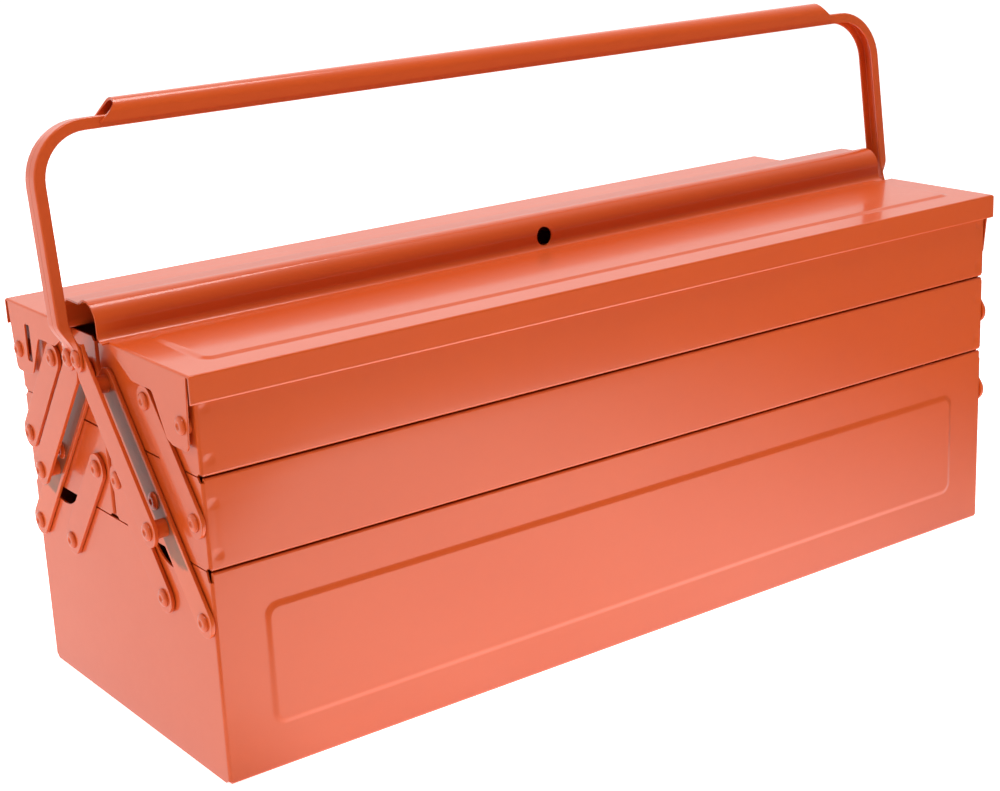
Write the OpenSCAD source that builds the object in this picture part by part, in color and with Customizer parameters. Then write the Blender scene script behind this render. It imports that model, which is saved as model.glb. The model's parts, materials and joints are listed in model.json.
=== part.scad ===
// Cantilever tool box in folded sheet steel: one deep base, two tiers of trays
// that swing out to the front and to the rear, two lids and a split handle.
// Origin: middle of the base on the floor. X runs along the box, -Y is the front.

/* [Base] */
// Length of the base over its end panels
base_l = 540; // [420:10:700]
// Depth of the base from front to rear
base_w = 202; // [192:2:230]
// Height of the base
base_h = 110; // [104:1:116]
// Thickness of the folded steel sheet
sheet = 1; // [0.8:0.1:1.2]
// Depth of the doubled hem along each tray's long top edges
hem_h = 7; // [4:1:12]
// How far the pressed panels stand out of the sheet
press_h = 1; // [0.6:0.1:1.5]
// Bare margin left and right of the pressed panel on the base
base_press_margin_x = 26; // [16:1:60]
// Bare margin above and below the pressed panel on the base
base_press_margin_z = 22; // [14:1:30]
// Corner radius of the pressed panels
press_r = 8; // [4:1:12]
// Radius of the arc notches in the top edge of the base's ends
notch_r = 21.5; // [18:0.5:23]
// Height of the notches' centre above the base's top edge
notch_rise = 13.5; // [12:0.5:16]

/* [Trays] */
// Height of the middle trays
middle_tray_h = 46; // [42:1:47]
// Height of the top trays
top_tray_h = 47.7; // [45:0.1:54]
// Gap between one tier and the next
tier_gap = 0.7; // [0.4:0.1:1]
// Gap between the front and the rear trays
centre_gap = 2; // [1:0.5:4]

/* [Lids] */
// How far a lid's skirt stands outside the trays' long faces
lid_overhang = 3.6; // [3:0.1:5]
// How far a lid's end flange stands outside the trays' ends
lid_end_overhang = 3.6; // [3.6:0.1:5]
// Height of the lid's long skirt
skirt_h = 14; // [10:1:20]
// Clearance between a lid and the corner of its tray as the lid swings past it
lid_swing_gap = 0.2; // [0.1:0.1:0.4]
// Outer radius of the hook along a lid's inner edge
hook_r = 11; // [9:0.5:12]
// Height of the hook above the lid's top
hook_h = 18.8; // [17:0.2:22]
// Sweep of the hook's curl past the vertical face
hook_sweep = 128; // [100:1:130]
// Radius of the fold at the foot of the hook
hook_foot_r = 4.5; // [3:0.5:6]
// Gap between the two hooks where they meet
hook_gap = 0.8; // [0.6:0.1:2]
// How far the hooks stop short of the lids' ends
hook_end_setback = 2.6; // [2:0.1:8]
// Sideways shift of both hooks toward the left end
hook_shift = 6; // [0:0.5:6]
// How far the rear hook's flat top lies below the front hook's crown
rear_hook_drop = 2.5; // [1:0.1:4]
// Outer radius of the rear hook's corner
rear_hook_r = 5; // [3:0.5:6]
// Diameter of the padlock hole through both hooks
padlock_d = 10.5; // [8:0.5:11]
// Distance of the padlock hole from the middle of the box
padlock_x = -4; // [-20:1:20]
// Height of the padlock hole above the lids' top
padlock_rise = 7.2; // [6.6:0.2:8]
// Bare margin at the ends of a lid's pressed panel
lid_press_margin_x = 17; // [14:1:40]
// Bare margin between a lid's skirt and its pressed panel
lid_press_margin_outer = 17; // [10:1:24]
// Bare margin between the hook's foot and a lid's pressed panel
lid_press_margin_inner = 5; // [3:1:12]
// Distance from a lid's ear pin to the outer edge of its end flange
ear_out = 9; // [8:0.5:10]
// Distance from a lid's ear pin to the inner corner of its end flange
ear_in = 16; // [12:0.5:18]
// How far a lid's end flange reaches below its ear pin
ear_low = 12; // [10:0.5:13]
// Distance of the lid's pivot from the tray's long face
ear_inset = 8.5; // [8:0.5:10]
// Depth of the lid's pivot under the lid's top
ear_drop = 26; // [22:1:28]

/* [Linkage] */
// Distance of a long arm's base pivot from the base's long face
arm_inset = 7; // [7:0.5:10]
// Depth of the base pivots under the base's top edge
arm_drop = 26; // [22:1:30]
// Distance of the long arms' top pivots from the middle of the box
arm_top_inset = 12; // [11:0.5:14]
// Upward step from one row of pivots to the next
link_rise = 50.3; // [49:0.1:51]
// Width of the arms and links
strap_w = 16; // [13:1:17]
// Thickness of the arms and links
strap_t = 2; // [1.5:0.1:2.1]
// Gap between an arm and the panel it swings past
strap_gap = 0.4; // [0.3:0.1:0.6]
// Radius of the pivot pins
pin_r = 2.5; // [2:0.1:3]
// Running clearance round a pin
pin_fit = 0.05; // [0.02:0.01:0.08]
// Clearance round the pins that close each linkage
loose_fit = 0.3; // [0.2:0.05:0.5]
// Radius of a rivet's head
head_r = 4.6; // [4:0.1:5.5]
// Height of a rivet's head
head_h = 1.6; // [1:0.1:1.8]
// Gap between a rivet's head and the strap under it
head_gap = 0.1; // [0.05:0.05:0.2]
// Gap between a long arm and the handle strap outside it
strap_space = 7.1; // [5:0.1:8]
// Place of the handle strap's lower rivet, as a height over the base pivots
strap_foot_rise = 39.3; // [34:0.1:42]

/* [Handle] */
// How far a leg stands outside the tab that it ends in
leg_step = 7.1; // [5:0.1:12]
// Height of the handle's bar above the lids' top
handle_rise = 104; // [80:1:140]
// Depth of the whole handle section from front to rear
handle_w = 12; // [10:0.5:14]
// Thickness of the handle section
handle_t = 6; // [5:0.5:7]
// Sheet thickness of the handle
handle_sheet = 1.4; // [1.2:0.1:1.8]
// Outer radius of the handle's bends
handle_bend_r = 30; // [20:1:45]
// Backward lean of the handle about the arms' top pivots
handle_lean = 7; // [0:0.5:10]
// Gap between the front and the rear half of the handle
handle_gap = 0.5; // [0.4:0.1:1]
// Width of the tab that rivets a leg to its strap
tab_w = 10; // [9.6:0.2:13]
// Distance from the end of the grip's crown to the handle's bend
grip_inset = 18; // [14:1:60]
// Height of the grip's crown above the bar
grip_h = 8; // [6:0.5:10]
// Slant of the grip's ends
grip_slant = 42; // [30:1:60]
// Bare strip of the bar left under the grip
grip_lip = 2.6; // [2:0.1:3.2]

/* [Hidden] */
$fn = 48;

enamel = "orangered";
bright = "coral";
eps = 0.01;

// Lengths and depths measured from the middle of the box
end_x = base_l / 2;
face_y = base_w / 2;

// Heights of the tiers
middle_z = base_h + tier_gap;
top_z = middle_z + middle_tray_h + tier_gap;
lid_corner_r = ear_drop - sheet - lid_swing_gap;
lid_gap = ear_drop - sheet - sqrt(pow(lid_corner_r, 2) - pow(ear_inset, 2));
lid_z = top_z + top_tray_h + lid_gap + sheet;
base_hem_z = base_h - hem_h;

// Pivots: row heights and distances from the middle plane
pivot_z0 = base_h - arm_drop;
pivot_z1 = pivot_z0 + link_rise;
pivot_z2 = pivot_z1 + link_rise;
pivot_y0 = face_y - arm_inset;
link_pitch = (pivot_y0 - arm_top_inset) / 2;
pivot_y1 = pivot_y0 - link_pitch;
pivot_y2 = pivot_y1 - link_pitch;
ear_y = face_y - ear_inset;
ear_z = lid_z - ear_drop;
ear_corner = 4;

// Layers outward from the ends of the trays
strap_x = end_x + strap_gap;
strap_face_x = strap_x + strap_t;
head_x = strap_face_x + head_gap;
handle_strap_x = strap_face_x + strap_space;
handle_strap_face_x = handle_strap_x + strap_t;
tab_face_x = handle_strap_face_x + handle_sheet;
lid_end_x = end_x + lid_end_overhang;
tail_x = end_x - sheet - head_gap;

// Handle strap: foot on the long arm's line, top beside the middle plane
strap_r = strap_w / 2;
flange_waist_z = pivot_z2 + strap_r + 0.3;
foot_y = pivot_y0 - strap_foot_rise * link_pitch / link_rise;
foot_z = pivot_z0 + strap_foot_rise;
shoulder_y = pivot_y2 - 1.2;
shoulder_z = pivot_z2 + 1.2 * link_rise / link_pitch;
half_gap = handle_gap / 2;
tab_z = shoulder_z + 4;
tab_top_z = lid_z - 4;
tab_rivet = [half_gap + tab_w / 2, (tab_z + tab_top_z) / 2];

// Handle: half length, bar height and section
leg_x = tab_face_x + leg_step;
corner_x = leg_x - handle_bend_r;
bar_z = lid_z + handle_rise;
grip_l = 2 * (corner_x - grip_inset);
half_w = handle_w / 2;
grip_half_w = half_w + handle_sheet;

// Hook section
hook_cy = hook_gap / 2 - hook_r * cos(hook_sweep);
hook_cz = lid_z + hook_h - hook_r;
hook_face_y = hook_cy + hook_r;
hook_foot_y = hook_face_y + hook_foot_r;
rear_hook_top_z = lid_z + hook_h - rear_hook_drop;
hook_l = 2 * (lid_end_x - hook_end_setback);
skirt_y = face_y + lid_overhang;

// ---------- Shared shapes ----------

// Front pieces are drawn at -Y, rear pieces are their mirror image
module on_side(side) {
    if (side == "front") children();
    else mirror([0, 1, 0]) children();
}

// Left pieces are drawn at -X, right pieces are their mirror image
module at_end(end) {
    if (end == "left") children();
    else mirror([1, 0, 0]) children();
}

// Plate in the YZ plane whose outer face is at -x, drawn as [distance to the front, height]
module end_plate(x, thickness) {
    translate([-x, 0, 0])
        rotate([90, 0, 90])
            linear_extrude(thickness)
                mirror([1, 0])
                    children();
}

// Section in the YZ plane carried along X over a length, centred
module along_box(length) {
    translate([-length / 2, 0, 0])
        rotate([90, 0, 90])
            linear_extrude(length)
                mirror([1, 0])
                    children();
}

module rounded_rect(width, height, radius) {
    for (dx = [-1, 1], dy = [-1, 1])
        translate([dx * (width / 2 - radius), dy * (height / 2 - radius)])
            circle(radius);
    square([width - 2 * radius, height], center = true);
    square([width, height - 2 * radius], center = true);
}

// Strap outline between two pivots
module strap_outline(from, to, radius) {
    run = to - from;
    translate(from) {
        circle(radius);
        rotate(atan2(run[1], run[0]))
            translate([0, -radius])
                square([norm(run), 2 * radius]);
    }
    translate(to)
        circle(radius);
}

// Pin along X through the point [y, z], from the distance x0 to x1
module pin(at, x0, x1, radius) {
    translate([-x1, -at[0], at[1]])
        rotate([0, 90, 0])
            cylinder(r = radius, h = x1 - x0);
}

// Rivet with a tail inside the panel and a head outside
module rivet(at, x0, x1) {
    pin(at, x0, x1, pin_r);
    pin(at, x0 - head_h, x0, head_r);
    pin(at, x1, x1 + head_h, head_r);
}

module link(from, to, from_fit, to_fit) {
    end_plate(strap_face_x, strap_t)
        difference() {
            strap_outline(from, to, strap_r);
            translate(from) circle(pin_r + from_fit);
            translate(to) circle(pin_r + to_fit);
        }
}

// ---------- Base ----------

module pressed_face() {
    press_l = base_l - 2 * base_press_margin_x;
    press_z = base_h - 2 * base_press_margin_z;
    difference() {
        union() {
            translate([-end_x + sheet, -face_y, 0])
                cube([base_l - 2 * sheet, sheet, base_h]);
            translate([0, -face_y + eps, base_h / 2])
                rotate([90, 0, 0])
                    linear_extrude(press_h + eps)
                        rounded_rect(press_l, press_z, press_r);
        }
        translate([0, -face_y + sheet + eps, base_h / 2])
            rotate([90, 0, 0])
                linear_extrude(press_h + eps)
                    rounded_rect(press_l - 2 * sheet, press_z - 2 * sheet, press_r - sheet);
    }
    translate([-end_x + sheet, -face_y + sheet - eps, base_hem_z])
        cube([base_l - 2 * sheet, sheet + eps, hem_h]);
}

module base_tray() {
    color(enamel) {
        pressed_face();
        mirror([0, 1, 0]) pressed_face();
        translate([-end_x + sheet, -face_y, 0])
            cube([base_l - 2 * sheet, base_w, sheet]);
    }
}

module base_end(end) {
    color(bright)
        at_end(end)
            end_plate(end_x, sheet)
                difference() {
                    translate([-face_y, 0]) square([base_w, base_h]);
                    for (m = [0, 1]) mirror([m, 0]) {
                        translate([foot_y, base_h + notch_rise]) circle(notch_r);
                        translate([pivot_y0, pivot_z0]) circle(pin_r + pin_fit);
                        translate([pivot_y1, pivot_z0]) circle(pin_r + pin_fit);
                    }
                }
}

module base_pivot_rivets() {
    color(bright)
        for (side = ["front", "rear"], end = ["left", "right"])
            on_side(side) at_end(end) {
                rivet([pivot_y0, pivot_z0], tail_x, head_x);
                rivet([pivot_y1, pivot_z0], tail_x, head_x);
            }
}

// ---------- Trays ----------

// Folded trough of a tray, open at its ends
module tray(z, height) {
    color(enamel)
        along_box(base_l - 2 * sheet) {
            translate([centre_gap / 2, z]) square([face_y - centre_gap / 2, sheet]);
            for (inner = [centre_gap / 2, face_y - sheet])
                translate([inner, z]) square([sheet, height]);
            for (inner = [centre_gap / 2 + sheet - eps, face_y - 2 * sheet])
                translate([inner, z + height - hem_h]) square([sheet + eps, hem_h]);
        }
}

module tray_end(end, z, height, holes) {
    color(bright)
        at_end(end)
            end_plate(end_x, sheet)
                difference() {
                    translate([centre_gap / 2, z]) square([face_y - centre_gap / 2, height]);
                    for (hole = holes) translate(hole) circle(pin_r + pin_fit);
                }
}

module middle_tray_rivets() {
    color(bright)
        for (end = ["left", "right"], y = [pivot_y2, pivot_y1, pivot_y0])
            at_end(end) rivet([y, pivot_z1], tail_x, head_x);
}

// The lid's pivot has a shoulder that holds the flange off the tray's end
module top_tray_rivets() {
    color(bright)
        for (end = ["left", "right"]) at_end(end) {
            rivet([pivot_y1, pivot_z2], tail_x, head_x);
            rivet([ear_y, ear_z], tail_x, lid_end_x + head_gap);
            pin([ear_y, ear_z], end_x + head_gap, lid_end_x - sheet - head_gap, head_r);
        }
}

middle_holes = [[pivot_y2, pivot_z1], [pivot_y1, pivot_z1], [pivot_y0, pivot_z1]];
top_holes = [[pivot_y2, pivot_z2], [pivot_y1, pivot_z2], [ear_y, ear_z]];

// ---------- Lids ----------

// Pressed top with its long skirt
module lid_panel() {
    press_l = 2 * lid_end_x - 2 * lid_press_margin_x;
    press_outer = skirt_y - lid_press_margin_outer;
    press_inner = hook_foot_y + lid_press_margin_inner;
    press_y = press_outer - press_inner;
    press_mid = (press_outer + press_inner) / 2;
    color(enamel)
        difference() {
            union() {
                translate([-lid_end_x, -skirt_y, lid_z - sheet])
                    cube([2 * lid_end_x, skirt_y - hook_foot_y, sheet]);
                translate([-lid_end_x, -skirt_y, lid_z - skirt_h])
                    cube([2 * lid_end_x, sheet, skirt_h]);
                translate([0, -press_mid, lid_z - eps])
                    linear_extrude(press_h + eps)
                        rounded_rect(press_l, press_y, press_r);
            }
            translate([0, -press_mid, lid_z - sheet - eps])
                linear_extrude(press_h + eps)
                    rounded_rect(press_l - 2 * sheet, press_y - 2 * sheet, press_r - sheet);
        }
}

// Hooked rail along the lid's inner edge, with the padlock hole
module lid_hook(side) {
    face_z = lid_z + hook_foot_r - eps;
    face_top_z = side == "front" ? hook_cz : rear_hook_top_z - rear_hook_r;
    color(enamel)
        difference() {
            translate([-hook_shift, 0, 0])
                along_box(hook_l) {
                    if (side == "front") hook_arc([hook_cy, hook_cz], hook_r, hook_sweep);
                    else rear_hook_top();
                    translate([hook_face_y - sheet, face_z])
                        square([sheet, face_top_z - face_z + eps]);
                    hook_foot();
                }
            translate([padlock_x, 0, lid_z + padlock_rise])
                rotate([90, 0, 0])
                    cylinder(d = padlock_d, h = face_y);
        }
}

// Curl of a hook about its centre, from the vertical face over the crown
module hook_arc(centre, radius, sweep) {
    far = 2 * radius;
    translate(centre)
        difference() {
            circle(radius);
            circle(radius - sheet);
            translate([-far, -far]) square([2 * far, far]);
            rotate(sweep) square([far, far]);
        }
}

// Flat top of the rear hook, which the front hook's lip reaches over
module rear_hook_top() {
    corner_y = hook_face_y - rear_hook_r;
    hook_arc([corner_y, rear_hook_top_z - rear_hook_r], rear_hook_r, 90);
    translate([hook_gap / 2, rear_hook_top_z - sheet])
        square([corner_y - hook_gap / 2 + eps, sheet]);
}

// Concave fold between the lid's top and the hook's face
module hook_foot() {
    translate([hook_foot_y, lid_z + hook_foot_r])
        difference() {
            circle(hook_foot_r + sheet);
            circle(hook_foot_r);
            translate([0, -2 * hook_foot_r]) square(4 * hook_foot_r);
            translate([-2 * hook_foot_r, 0]) square(4 * hook_foot_r);
        }
}

// End flange with its ear; one end of each lid has a slot
module lid_end(end, slotted) {
    slot_y = ear_y - 14;
    color(bright)
        at_end(end)
            end_plate(lid_end_x, sheet)
                difference() {
                    polygon([
                        [hook_foot_y, lid_z - sheet],
                        [hook_foot_y, lid_z - sheet - 2],
                        [pivot_y1 - 9, flange_waist_z],
                        [pivot_y1 + 12, flange_waist_z],
                        [ear_y - ear_in, ear_z - ear_low + ear_corner / 2],
                        [ear_y - ear_in + 1.5 * ear_corner, ear_z - ear_low],
                        [ear_y + ear_out - 1.6 * ear_corner, ear_z - ear_low],
                        [ear_y + ear_out - 0.9 * ear_corner, ear_z - ear_low + 0.7 * ear_corner],
                        [ear_y + ear_out, lid_z - sheet]
                    ]);
                    translate([ear_y, ear_z]) circle(pin_r + pin_fit);
                    if (slotted)
                        translate([slot_y - 3, ear_z - 4]) square([6, 20]);
                }
}

// ---------- Linkage ----------

module long_arm(end) {
    color(bright)
        at_end(end)
            end_plate(strap_face_x, strap_t)
                difference() {
                    strap_outline([pivot_y0, pivot_z0], [pivot_y2, pivot_z2], strap_r);
                    for (at = [[pivot_y0, pivot_z0], [pivot_y1, pivot_z1],
                               [pivot_y2, pivot_z2], [foot_y, foot_z]])
                        translate(at) circle(pin_r + pin_fit);
                }
}

module upper_link(end) {
    color(bright)
        at_end(end) link([pivot_y0, pivot_z1], [pivot_y1, pivot_z2], pin_fit, loose_fit);
}

module lower_link(end) {
    color(bright)
        at_end(end) link([pivot_y1, pivot_z0], [pivot_y2, pivot_z1], pin_fit, loose_fit);
}

// Point [y, z] of the upright handle after it leans to the rear
function leaned(side, at) =
    let (turn = side == "front" ? handle_lean : -handle_lean, rise = at[1] - pivot_z2)
        [at[0] * cos(turn) - rise * sin(turn), pivot_z2 + at[0] * sin(turn) + rise * cos(turn)];

// Strap outside the long arm that carries the handle's leg
module handle_strap(side, end) {
    tab = [for (at = [[0, tab_z], [tab_w, tab_z], [tab_w, tab_top_z], [0, tab_top_z]])
        leaned(side, at + [half_gap, 0])];
    color(bright)
        at_end(end)
            end_plate(handle_strap_face_x, strap_t)
                difference() {
                    union() {
                        strap_outline([foot_y, foot_z], [shoulder_y, shoulder_z], strap_r);
                        polygon(tab);
                    }
                    for (at = [[foot_y, foot_z], [pivot_y2, pivot_z2], leaned(side, tab_rivet)])
                        translate(at) circle(pin_r + pin_fit);
                }
}

// Spaced rivets that join the long arms, the handle straps and the handle
module arm_rivets(side) {
    color(bright)
        for (end = ["left", "right"]) at_end(end) {
            outer_x = handle_strap_face_x + head_gap;
            pin([foot_y, foot_z], strap_x, outer_x, pin_r);
            pin([foot_y, foot_z], outer_x, outer_x + head_h, head_r);
            pin([pivot_y2, pivot_z2], tail_x, handle_strap_face_x, pin_r);
            pin([pivot_y2, pivot_z2], tail_x - head_h, tail_x, head_r);
            for (at = [[foot_y, foot_z], [pivot_y2, pivot_z2]])
                pin(at, strap_face_x + head_gap, handle_strap_x - head_gap, head_r);
            rivet(leaned(side, tab_rivet), handle_strap_x - head_gap, tab_face_x + head_gap);
        }
}

// ---------- Handle ----------

// Angle section of the front half, as [distance outward, distance to the front]
half_section = [
    [0, half_gap], [0, half_w], [-handle_t, half_w],
    [-handle_t, half_w - handle_sheet], [-handle_sheet, half_w - handle_sheet],
    [-handle_sheet, half_gap]
];

// Both halves lean back from the arms' top pivots
module leaning() {
    translate([0, 0, pivot_z2])
        rotate([-handle_lean, 0, 0])
            translate([0, 0, -pivot_z2])
                children();
}

// Front half of the bail above the lids
module bail_half() {
    corner_z = bar_z - handle_bend_r;
    leg_z = lid_z - 1;
    translate([-corner_x, 0, bar_z])
        rotate([90, 0, 90])
            linear_extrude(2 * corner_x)
                polygon([for (p = half_section) [-p[1], p[0]]]);
    for (end = ["left", "right"]) at_end(end) {
        translate([-corner_x, 0, corner_z])
            rotate([-90, 180, 0])
                rotate_extrude(angle = 90)
                    polygon([for (p = half_section) [handle_bend_r + p[0], -p[1]]]);
        translate([0, 0, leg_z])
            linear_extrude(corner_z - leg_z)
                polygon([for (p = half_section) [-leg_x - p[0], -p[1]]]);
    }
}

// Tab on the handle strap and the step that carries it out to the leg
module leg_tab() {
    step_z = tab_top_z;
    end_plate(tab_face_x, handle_sheet)
        difference() {
            translate([half_gap, tab_z]) square([tab_w, step_z - tab_z]);
            translate(tab_rivet) circle(pin_r + pin_fit);
        }
    translate([0, -half_gap, 0])
        rotate([90, 0, 0])
            linear_extrude(half_w - half_gap)
                polygon([
                    [-tab_face_x, step_z - handle_sheet],
                    [-tab_face_x + handle_sheet, step_z - handle_sheet],
                    [-tab_face_x + handle_sheet, step_z],
                    [-leg_x + handle_sheet, lid_z + handle_sheet],
                    [-leg_x + handle_sheet, lid_z + 2 * handle_sheet],
                    [-leg_x, lid_z + 2 * handle_sheet],
                    [-leg_x, lid_z + handle_sheet / 2]
                ]);
}

module handle_bar(side) {
    color(enamel)
        leaning()
            on_side(side) {
                bail_half();
                for (end = ["left", "right"]) at_end(end) leg_tab();
            }
}

// Half-round cover over one half of the bar, with slanted ends
module grip_half() {
    crown_z = bar_z + grip_h;
    cheek_z = bar_z + grip_h - grip_half_w;
    lip_z = bar_z - handle_t + grip_lip;
    far = grip_l;
    difference() {
        along_box(far + 4 * grip_h) {
            translate([half_w, lip_z]) square([handle_sheet, cheek_z - lip_z + eps]);
            translate([0, cheek_z])
                difference() {
                    circle(grip_half_w);
                    circle(grip_half_w - handle_sheet);
                    translate([-grip_half_w - 1, -2 * grip_half_w])
                        square([2 * grip_half_w + 2, 2 * grip_half_w]);
                    translate([half_gap - 2 * grip_half_w, -1])
                        square([2 * grip_half_w, grip_half_w + 2]);
                }
        }
        for (end = ["left", "right"]) at_end(end)
            translate([-grip_l / 2, 0, crown_z])
                rotate([0, 90 - grip_slant, 0])
                    translate([-far, -far / 2, -far / 2])
                        cube([far, far, far]);
    }
}

module handle_grip(side) {
    color(enamel)
        leaning() on_side(side) grip_half();
}

// ---------- Assembly ----------

base_tray();
base_end("left");  // base_end_left
base_end("right");  // base_end_right
base_pivot_rivets();
on_side("front") tray(middle_z, middle_tray_h);  // front_middle_tray
on_side("front") tray_end("left", middle_z, middle_tray_h, middle_holes);  // front_middle_tray_end_left
on_side("front") tray_end("right", middle_z, middle_tray_h, middle_holes);  // front_middle_tray_end_right
on_side("front") middle_tray_rivets();  // front_middle_tray_rivets
on_side("front") tray(top_z, top_tray_h);  // front_top_tray
on_side("front") tray_end("left", top_z, top_tray_h, top_holes);  // front_top_tray_end_left
on_side("front") tray_end("right", top_z, top_tray_h, top_holes);  // front_top_tray_end_right
on_side("front") top_tray_rivets();  // front_top_tray_rivets
on_side("front") lid_panel();  // front_lid_panel
on_side("front") lid_hook("front");  // front_lid_hook
on_side("front") lid_end("left", false);  // front_lid_end_left
on_side("front") lid_end("right", true);  // front_lid_end_right
on_side("front") long_arm("left");  // front_long_arm_left
on_side("front") long_arm("right");  // front_long_arm_right
on_side("front") upper_link("left");  // front_upper_link_left
on_side("front") upper_link("right");  // front_upper_link_right
on_side("front") lower_link("left");  // front_lower_link_left
on_side("front") lower_link("right");  // front_lower_link_right
on_side("front") handle_strap("front", "left");  // front_handle_strap_left
on_side("front") handle_strap("front", "right");  // front_handle_strap_right
on_side("front") arm_rivets("front");  // front_arm_rivets
handle_bar("front");  // front_handle_bar
handle_grip("front");  // front_handle_grip
on_side("rear") tray(middle_z, middle_tray_h);  // rear_middle_tray
on_side("rear") tray_end("left", middle_z, middle_tray_h, middle_holes);  // rear_middle_tray_end_left
on_side("rear") tray_end("right", middle_z, middle_tray_h, middle_holes);  // rear_middle_tray_end_right
on_side("rear") middle_tray_rivets();  // rear_middle_tray_rivets
on_side("rear") tray(top_z, top_tray_h);  // rear_top_tray
on_side("rear") tray_end("left", top_z, top_tray_h, top_holes);  // rear_top_tray_end_left
on_side("rear") tray_end("right", top_z, top_tray_h, top_holes);  // rear_top_tray_end_right
on_side("rear") top_tray_rivets();  // rear_top_tray_rivets
on_side("rear") lid_panel();  // rear_lid_panel
on_side("rear") lid_hook("rear");  // rear_lid_hook
on_side("rear") lid_end("left", true);  // rear_lid_end_left
on_side("rear") lid_end("right", false);  // rear_lid_end_right
on_side("rear") long_arm("left");  // rear_long_arm_left
on_side("rear") long_arm("right");  // rear_long_arm_right
on_side("rear") upper_link("left");  // rear_upper_link_left
on_side("rear") upper_link("right");  // rear_upper_link_right
on_side("rear") lower_link("left");  // rear_lower_link_left
on_side("rear") lower_link("right");  // rear_lower_link_right
on_side("rear") handle_strap("rear", "left");  // rear_handle_strap_left
on_side("rear") handle_strap("rear", "right");  // rear_handle_strap_right
on_side("rear") arm_rivets("rear");  // rear_arm_rivets
handle_bar("rear");  // rear_handle_bar
handle_grip("rear");  // rear_handle_grip
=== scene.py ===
import json
import math

import bmesh
import bpy
from mathutils import Matrix, Vector


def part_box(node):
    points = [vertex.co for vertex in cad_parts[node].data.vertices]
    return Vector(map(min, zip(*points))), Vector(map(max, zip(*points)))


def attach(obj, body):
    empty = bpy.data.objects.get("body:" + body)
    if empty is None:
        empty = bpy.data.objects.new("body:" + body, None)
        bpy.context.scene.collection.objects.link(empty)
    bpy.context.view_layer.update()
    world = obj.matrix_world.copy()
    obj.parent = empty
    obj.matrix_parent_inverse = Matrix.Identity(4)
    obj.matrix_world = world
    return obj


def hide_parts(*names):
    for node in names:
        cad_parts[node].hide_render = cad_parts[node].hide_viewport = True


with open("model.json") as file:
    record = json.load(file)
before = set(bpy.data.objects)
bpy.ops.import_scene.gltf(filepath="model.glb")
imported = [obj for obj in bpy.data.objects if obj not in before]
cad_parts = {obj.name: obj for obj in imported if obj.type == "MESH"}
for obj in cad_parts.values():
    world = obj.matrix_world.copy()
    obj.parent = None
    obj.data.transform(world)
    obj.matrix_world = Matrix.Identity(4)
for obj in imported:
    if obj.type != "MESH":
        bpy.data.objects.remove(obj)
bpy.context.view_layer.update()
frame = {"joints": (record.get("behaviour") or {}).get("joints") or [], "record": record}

# The scene is in metres. Front pieces lie at -Y, left pieces at -X.
# A Vector of two numbers is (distance from the middle plane, height), unless it says otherwise.
MM = 0.001
SIDES = {"front": -1, "rear": 1}
ENDS = {"left": -1, "right": 1}


def pivot(joint):
    """Place of a joint's pin as (distance from the middle plane, height)."""
    at = next(j["pos_m"] for j in frame["joints"] if j["name"] == joint)
    return Vector((abs(at[1]), at[2]))


# ---------- Sizes read from the frame ----------

panel_low, panel_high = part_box("base_end_left")
END_X = -panel_low.x
FACE_Y = panel_high.y
BASE_TOP = panel_high.z
SHEET = panel_high.x - panel_low.x
PRESS_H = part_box("base_tray")[1].y - FACE_Y

lid_low, lid_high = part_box("front_lid_panel")
LID_X = lid_high.x
LID_Z = lid_high.z - PRESS_H
SKIRT_Y = -lid_low.y
SKIRT_H = LID_Z - lid_low.z
HOOK_START_Y = -lid_high.y
hook_low, hook_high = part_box("front_lid_hook")
HOOK_ENDS = (hook_low.x, hook_high.x)
HOOK_TOP = hook_high.z
HOOK_GAP_Y = -hook_high.y
REAR_HOOK_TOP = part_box("rear_lid_hook")[1].z

arm_low, arm_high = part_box("front_long_arm_left")
STRAP_X = -arm_high.x
STRAP_T = arm_high.x - arm_low.x
strap_low, strap_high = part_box("front_handle_strap_left")
HANDLE_STRAP_X = -strap_high.x
LEG_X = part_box("front_handle_bar")[1].x

BASE_PIN = pivot("front_arms_swing")
MIDDLE_PIN = pivot("front_middle_tray_level")
TOP_PIN = pivot("front_top_tray_level")
UPPER_LINK_PIN = pivot("front_upper_links_swing")
LOWER_LINK_PIN = pivot("front_lower_links_swing")
LID_PIN = pivot("front_lid_open")
STRAP_R = BASE_PIN.y - arm_low.z
foot_low = strap_low.z + STRAP_R
STRAP_FOOT = BASE_PIN + (TOP_PIN - BASE_PIN) * (foot_low - BASE_PIN.y) / (TOP_PIN.y - BASE_PIN.y)

# ---------- Sizes of the dressing ----------

# Folded sheet: bend at its corners, hems, roll and foot of the lid's skirt, broken edges of plates
CORNER_R = 1.6 * MM
WRAP_X = END_X - CORNER_R
HEM_H = 7 * MM
HEM_GAP = 0.3 * MM
HEM_R = SHEET + HEM_GAP / 2
ROLL_R = 1.2 * MM
SKIRT_TURN = 1.0 * MM
SKIRT_TURN_TO = 240
EDGE = 0.35 * MM
FLANGE_EDGE = 0.2 * MM

# Pressed panels: their corners, the slope round them and their margins
PRESS_R = 8 * MM
PRESS_SLOPE = 4 * MM
BASE_PRESS_MARGIN_X = 26 * MM
BASE_PRESS_MARGIN_Z = 22 * MM
LID_PRESS_MARGIN_X = 17 * MM
LID_PRESS_MARGIN_OUTER = 17 * MM
LID_PRESS_MARGIN_INNER = 5 * MM

# End walls: arc notches behind the straps' feet, whose centres lie a rise above the edge, and
# corners that are cut back over a width
NOTCH_Y = STRAP_FOOT.x
NOTCH_R = 21.5 * MM
NOTCH_RISE = 13.5 * MM
NOTCH_REACH = math.sqrt(NOTCH_R ** 2 - NOTCH_RISE ** 2)
CUT_W = 2.4 * MM
CUT_START = 0.2
BASE_CUT = 5 * MM
TRAY_CUT = 2.2 * MM

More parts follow.
